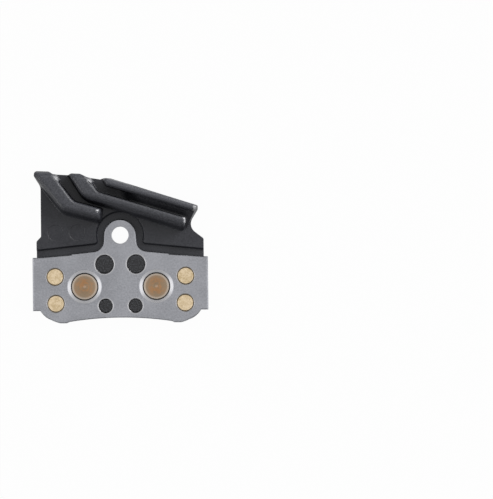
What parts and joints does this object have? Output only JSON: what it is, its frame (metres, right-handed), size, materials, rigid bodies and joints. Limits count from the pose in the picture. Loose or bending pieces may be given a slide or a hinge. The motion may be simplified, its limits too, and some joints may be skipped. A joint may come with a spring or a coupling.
{
  "type": "bicycle disc brake pad",
  "caption": "Finned disc brake pad for a hydraulic bicycle caliper: steel back plate with a pin ear, black cast fin plate with cooling ribs, and a sintered friction block.",
  "frame": {"origin": "on the pin hole's axis, in the plane where the friction block is bonded to the fin plate", "axes": "+X along the pad, +Y out towards the cooling fin's edge, +Z out of the steel plate, away from the rotor; the pad lies on its friction face"},
  "size_m": [0.0422, 0.0366, 0.0092],
  "materials": {
    "steel_plate": "satin rolled stainless steel",
    "black_casting": "black coated aluminium casting",
    "sintered_friction": "speckled sintered metal, matt",
    "copper_rivet": "dull copper, turned",
    "brass_rivet": "pale brass, grained"
  },
  "bodies": {
    "root": {"back_plate": "steel_plate", "fin_plate": "black_casting", "friction_block": "sintered_friction", "large_rivets": "copper_rivet", "small_rivets": "brass_rivet"}
  },
  "joints": []
}
